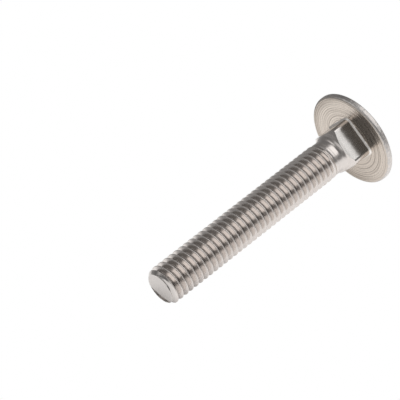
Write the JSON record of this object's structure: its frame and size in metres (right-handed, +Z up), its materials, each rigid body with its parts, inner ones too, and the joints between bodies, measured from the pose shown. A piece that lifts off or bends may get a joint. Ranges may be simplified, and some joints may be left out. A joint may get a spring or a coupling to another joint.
{
  "type": "carriage bolt",
  "caption": "Carriage bolt of bright stainless steel: low domed round head, square neck with cut corners, and a metric thread along almost its whole shank.",
  "frame": {"origin": "middle of the bolt's footprint, on the surface that it lies on", "axes": "+Z up, +X towards the head; the bolt lies on the rim of its head and on the crests near its point"},
  "size_m": [0.043, 0.0154, 0.0154],
  "materials": {
    "steel": "bright satin stainless steel, cold formed and rolled"
  },
  "bodies": {
    "root": {"carriage_bolt": "steel"}
  },
  "joints": []
}
